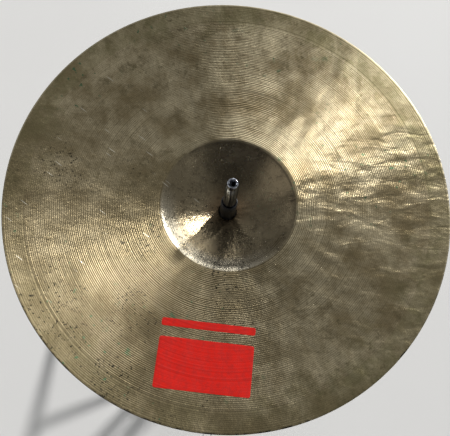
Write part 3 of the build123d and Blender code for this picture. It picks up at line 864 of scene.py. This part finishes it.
def domed_pins(steel):
    """Rivets and pivot pins in place of the plain CAD discs and bars."""
    knee = middle_of("leg_rivets_1")
    collar = middle_of("leg_pins").z
    for number, azimuth in enumerate(LEG_AZIMUTHS, 1):
        shapes = Shapes()
        for side in (-1, 1):
            start = about(azimuth) @ Matrix.Translation((knee.y, side * 7.5 * MM, knee.z))
            turn = start @ Matrix.Rotation(-side * pi / 2, 4, "X")
            shapes.turned([(4.2, 0.02), (4.2, 0.3)] + dome(4.0, 0.4, 1.1), turn, 32)
        rivets = [f"leg_rivets_{number}"]
        shapes.finish(f"leg_rivets_domed_{number}", steel, f"leg_{number}", "hardware", rivets)
    pins = (("leg_pins", "leg_collar", collar, 8.6), ("strut_pins", "base", 0.148, 5.6))
    for name, body, height, half in pins:
        shapes = Shapes()
        for azimuth in LEG_AZIMUTHS:
            start = about(azimuth) @ Matrix.Translation((31 * MM, 0, height))
            outline = dome(2.1, -half + 0.5, -0.5)[::-1] + [(2.5, -half + 0.9), (2.5, half - 0.9)]
            outline += dome(2.1, half - 0.5, 0.5)
            shapes.turned(outline, start @ Matrix.Rotation(pi / 2, 4, "X"), 28)
        shapes.finish(f"{name}_domed", steel, body, "hardware", [name])
    shapes = Shapes()
    for link in (1, 2):
        place = along((0, 0, (CLEVIS_PIN_HEIGHT - CHAIN_PITCH * link) * MM), (1, 0, 0))
        outline = dome(1.75, -4.75, -0.35, 3)[::-1] + [(1.8, -4.7), (1.8, 4.7)] + dome(1.75, 4.75, 0.35, 3)
        shapes.turned(outline, place, 24)
    shapes.finish("chain_pins_peened", steel, "chain", "hardware", ["chain_pins"])


def coil_spring(material):
    """Return spring with closed end turns."""
    low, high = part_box("return_spring")
    wire, radius = 1.1, 8.5
    base, top = low.z / MM + wire, high.z / MM - wire
    turns, closed, steps = 8.6, 0.8, 32
    rows = []
    for step in range(int(turns * steps) + 1):
        turn = step / steps
        inner = min(max((turn - closed) / (turns - 2 * closed), 0), 1)
        ends = min(turn, closed) + max(turn - turns + closed, 0)
        height = base + ends * 2.3 + inner * (top - base - 2 * closed * 2.3)
        angle = 2 * pi * turn
        taper = 0.75 if step in (0, int(turns * steps)) else 1.0
        ring = []
        for index in range(10):
            around = 2 * pi * index / 10
            out = radius + taper * wire * cos(around)
            level = height + taper * wire * sin(around)
            ring.append((out * cos(angle) * MM, out * sin(angle) * MM, level * MM))
        rows.append(ring)
    shapes = Shapes().rows(rows)
    spring = shapes.finish("return_spring_coil", material, "base", "spring_steel", ["return_spring"], 60)
    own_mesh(spring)


def socket_head(shapes, place, radius, height, recess):
    """Rounded screw head with a six-sided recess."""
    outline = [(radius, 0.02), (radius, height * 0.45), (radius * 0.93, height * 0.75)]
    outline += [(radius * 0.75, height * 0.97), (recess * 1.25, height), (recess, height)]
    outline += [(recess, height - min(height * 0.7, 1.6))]

    def shape(out, level, angle):
        return out if out > recess * 1.1 else recess * cos(pi / 6) / cos((angle % (pi / 3)) - pi / 6)

    shapes.turned(outline, place, 48, shape=shape)


def screw_heads(steel, board):
    shapes = Shapes()
    for x in (-26, 26):
        for y in (-300, -272):
            socket_head(shapes, shift(x, y, 9), 4, 1.95, 1.6)
    shapes.finish("heel_screws_socket", steel, "base", "hardware", ["heel_screws"])
    shapes = Shapes()
    for x in (-9, 9):
        socket_head(shapes, board @ shift(x, 217, 4), 3.6, 1.55, 1.4)
    shapes.finish("toe_screws_socket", steel, "footboard", "hardware", ["toe_screws"])
    shapes = Shapes()
    height = middle_of("hub_bolt").z
    place = along((14.4 * MM, 0, height), (1, 0, 0))
    shapes.turned([(3, 0), (3, 6.4)], place, 24)
    socket_head(shapes, along((20.3 * MM, 0, height), (1, 0, 0)), 5.5, 4.6, 2.9)
    shapes.finish("hub_bolt_socket", steel, "base", "hardware", ["hub_bolt"])


def nuts(steel):
    """Chamfered hexagon nuts on the rod and on the clamp bolt."""
    low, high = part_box("rod_lock_nut")
    rows = [(3.05, 0.5), (3.5, 0), (5.4, 0), (6.35, 0.55), (6.35, 5.45), (5.4, 6), (3.5, 6), (3.05, 5.5)]
    shapes = Shapes().turned(rows, Matrix.Translation((0, 0, low.z)), 72, True, hexagonal(11))
    shapes.finish("rod_lock_nut_chamfered", steel, "pull_rod", "hardware", ["rod_lock_nut"])
    low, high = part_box("clamp_nut")
    middle = (low + high) / 2
    rows = [(3.1, 0.5), (3.6, 0), (5.4, 0), (6.35, 0.55), (6.35, 4.4), (5.4, 4.95), (3.6, 4.95), (3.1, 4.5)]
    shapes = Shapes().turned(rows, along((high.x, middle.y, middle.z), (-1, 0, 0)), 72, True, hexagonal(11))
    shapes.finish("clamp_nut_chamfered", steel, "base", "hardware", ["clamp_nut"])


def chain_plates(steel):
    """Waisted side plates with rounded edges, in pairs outside and inside."""
    for name, links, near in (("chain_outer_links", (0, 2), 3.7), ("chain_inner_links", (1,), 2.3)):
        shapes = Shapes()
        for link in links:
            top = CLEVIS_PIN_HEIGHT - CHAIN_PITCH * link
            for side in (-1, 1):
                rows = []
                for x, inset in ((0, 0.35), (0.3, 0), (0.9, 0), (1.2, 0.35)):
                    face = side * (near + x) * MM
                    ring = []
                    for end, turn in ((1, 0), (-1, pi)):
                        for step in range(15):
                            angle = turn - pi * 0.62 + 1.24 * pi * step / 14 + pi / 2
                            radius = 4.8 - inset
                            centre = 0 if end == 1 else -CHAIN_PITCH
                            level = top + centre + radius * sin(angle)
                            ring.append((face, radius * cos(angle) * MM, level * MM))
                        waist = (3.5 - inset) * (-1 if end == 1 else 1)
                        ring.append((face, waist * MM, (top - CHAIN_PITCH / 2) * MM))
                    rows.append(ring)
                shapes.rows(rows)
        shapes.finish(f"{name}_waisted", steel, "chain", "chain_steel", [name])


def board_grip(material, board):
    """Raised bars between the slots and two long side ridges on the footboard."""
    shapes = Shapes()
    rise = [(-0.3, 0), (0.6, 0.1), (1.1, 0.5), (1.35, 1.3)]
    for row in range(6):
        shapes.slab(rise, 21, 2.6, 2.5, board @ shift(0, 57 + 26 * row, 4))
    for side in (-1, 1):
        for row in range(9):
            place = board @ shift(side * 29.5, 48 + 17.5 * row, 4)
            shapes.slab(rise, 4.6, 2.1, 2.0, place @ Matrix.Rotation(radians(-side * 24), 4, "Z"))
    shapes.finish("board_grip", material, "footboard", "board_alloy")


def stand():
    """Finishes and detail pieces of everything under the cymbal."""
    casting = plated(
        "satin_chrome_casting", (0.56, 0.57, 0.59), (0.40, 0.41, 0.43), (0.20, 0.36), 40, bump=0.05
    )
    tube = plated(
        "chrome_tube", (0.72, 0.73, 0.75), (0.58, 0.59, 0.61), (0.05, 0.16), 30, (1, 1, 0.2), 0.2, 0.01
    )
    strip = plated(
        "leg_strip", (0.66, 0.67, 0.69), (0.50, 0.51, 0.53), (0.14, 0.30), 55, (1, 1, 0.15), 0.25, 0.02
    )
    zinc = plated("zinc_hardware", (0.60, 0.61, 0.62), (0.38, 0.38, 0.37), (0.22, 0.42), 160, pitted=0.4)
    wire = plated("spring_wire", (0.34, 0.34, 0.36), (0.20, 0.20, 0.21), (0.24, 0.42), 200, pitted=0.5)
    alloy = cast_board()
    chain = oily_chain()
    nylon = moulded("white_nylon", (0.62, 0.61, 0.57), (0.72, 0.71, 0.68), (0.36, 0.5), 120, 0.1)
    black = moulded("black_moulding", (0.016, 0.016, 0.017), (0.06, 0.06, 0.058), (0.34, 0.56), 140, 0.25)
    rubber = moulded("black_rubber", (0.022, 0.021, 0.021), (0.055, 0.053, 0.05), (0.6, 0.82), 110, 0.5, 0.09)

    dress(["base_frame", "leg_collar"], casting, 0.7)
    dress(["height_clamp", "heel_plate", "rod_clevis", "memory_lock"], casting, 0.35)
    dress(["lower_tube", "upper_tube", "pull_rod"], tube, 0.3)
    dress([f"{kind}_{number}" for kind in ("leg", "strut") for number in (1, 2, 3)], strip, 0.35)
    dress([f"strut_spacer_{number}" for number in (1, 2, 3)], zinc, 0.2)
    dress(["hinge_pin", "link_rods", "toe_pin", "clevis_pin", "spring_collar", "memory_key_bolt"], zinc, 0.4)
    dress(["tilt_plate"], zinc, 0.15)
    dress(["footboard", "toe_bracket"], alloy, 0.3)
    dress(["chain_rollers"], chain, 0.2)
    coil_spring(wire)
    dress(["rod_guide_bush", "tube_bush"], nylon, 0.3)
    dress(["seat_base"], black, 0.5)

    board = Matrix.Translation((0, -0.25, 0.026)) @ Matrix.Rotation(radians(16), 4, "X")
    collar = middle_of("leg_pins").z
    tension_knob(black)
    tilt_screw(black)
    clamp = middle_of("clamp_nut")
    clamp_wing = along((9.4 * MM, clamp.y, clamp.z), (1, 0, 0))
    wing_bolt("clamp_wing_bolt_forged", "clamp_wing_bolt", clamp_wing, 22, zinc)
    leg_wing = about(30) @ along((27.4 * MM, 0, collar), (1, 0, 0))
    wing_bolt("leg_wing_bolt_forged", "leg_wing_bolt", leg_wing, 12.6, zinc)
    rubber_feet(rubber)
    pads(rubber)
    seat_felt(wool_felt())
    domed_pins(zinc)
    screw_heads(zinc, board)
    nuts(zinc)
    chain_plates(chain)
    board_grip(alloy, board)


# -------- stage
def floor():
    coat = Surface("pale_floor", Roughness=0.7)
    coat.paint(coat.noise(2.5, 3), (0.70, 0.69, 0.67), (0.74, 0.73, 0.71))
    bpy.ops.mesh.primitive_plane_add(size=40)
    ground = bpy.context.object
    ground.name = "studio_floor"
    ground.data.materials.append(coat.material)


def lamp(name, direction, distance, size, power, target=(0, 0, 0.8)):
    """Soft light of a width and height, at a direction from the target and facing it."""
    data = bpy.data.lights.new(name, "AREA")
    data.shape = "RECTANGLE"
    data.size, data.size_y = size
    data.energy = power
    place_light(data, VIEW_TURN @ Vector(direction).normalized(), distance, target)


def place_light(data, way, distance, target):
    light = bpy.data.objects.new(data.name, data)
    bpy.context.scene.collection.objects.link(light)
    light.location = Vector(target) + way * distance
    light.rotation_mode = "QUATERNION"
    light.rotation_quaternion = way.to_track_quat("Z", "Y")


def lights():
    world = bpy.data.worlds.new("studio")
    bpy.context.scene.world = world
    world.use_nodes = True
    background = world.node_tree.nodes["Background"]
    tree = world.node_tree
    place = tree.nodes.new("ShaderNodeTexCoord").outputs["Generated"]

    def lobe(direction, low, high, level):
        """Soft patch of sky round a direction, added to or taken from the rest."""
        across = tree.nodes.new("ShaderNodeVectorMath")
        across.operation = "DOT_PRODUCT"
        across.inputs[1].default_value = VIEW_TURN @ Vector(direction).normalized()
        tree.links.new(place, across.inputs[0])
        fall = tree.nodes.new("ShaderNodeMapRange")
        fall.interpolation_type = "SMOOTHSTEP"
        for socket, number in zip(fall.inputs[1:], (low, high, 0, level)):
            socket.default_value = number
        tree.links.new(across.outputs["Value"], fall.inputs["Value"])
        return fall.outputs[0]

    strength = lobe((0, 0, 1), -1.0, -0.99, 0.33)
    for patch in (
        lobe((0, 0.62, 0.78), 0.62, 0.95, -0.24),
        lobe((0.97, -0.25, 0.1), 0.955, 0.985, 1.0),
        lobe((-0.85, 0.5, 0.1), 0.965, 0.99, 1.0),
        lobe((0.3, 0.95, 0.0), 0.95, 0.99, -0.22),
        lobe((0.7, -0.7, 0.0), 0.95, 0.99, -0.22),
    ):
        total = tree.nodes.new("ShaderNodeMath")
        tree.links.new(strength, total.inputs[0])
        tree.links.new(patch, total.inputs[1])
        strength = total.outputs[0]
    tree.links.new(strength, background.inputs["Strength"])
    background.inputs["Color"].default_value = (0.96, 0.98, 1.0, 1)
    key = bpy.data.lights.new("key", "SUN")
    key.energy = 2.6
    key.angle = radians(4)
    place_light(key, VIEW_TURN @ Vector((-0.41, -0.657, 0.632)), 3, (0, 0, 0.8))
    lamp("fill", (0.75, 0.35, 0.55), 3.0, (2.0, 2.0), 8)
    lamp("window", (-0.12, -0.90, 0.40), 3.0, (1.5, 0.6), 24)
    bpy.context.scene.view_settings.view_transform = "Standard"


def photo_camera():
    """Camera over the +Y side, looking steeply down at the cymbal, rolled a little."""
    tilt, roll = radians(18.3), radians(10.8)
    distance = 529 * MM
    data = bpy.data.cameras.new("photo_camera")
    data.sensor_width = 36
    data.lens = 53.28
    data.shift_x = -0.0115
    data.shift_y = -0.0449
    data.clip_start = 0.01
    camera = bpy.data.objects.new("photo_camera", data)
    bpy.context.scene.collection.objects.link(camera)
    back = VIEW_TURN @ Vector((0, sin(tilt), cos(tilt)))
    level = VIEW_TURN @ Vector((-1, 0, 0))
    up = level.cross(-back)
    right = level * cos(roll) + up * sin(roll)
    up = up * cos(roll) - level * sin(roll)
    camera.matrix_world = Matrix.Translation(Vector((0, 0, RIM_HEIGHT)) + back * distance) @ Matrix(
        (right, up, back)
    ).transposed().to_4x4()
    bpy.context.scene.camera = camera


# -------- build
bronze_metal = bronze()
chrome_plate = chrome()
nylon_black = black_nylon()

piece("bottom_cymbal_skin", cymbal_mesh(), bronze_metal, "bottom_cymbal", ["bottom_cymbal"])
printed_mark(red_ink())
seat_sleeve(nylon_black)
rod_coupler(chrome_plate)
stand()
floor()
lights()
photo_camera()
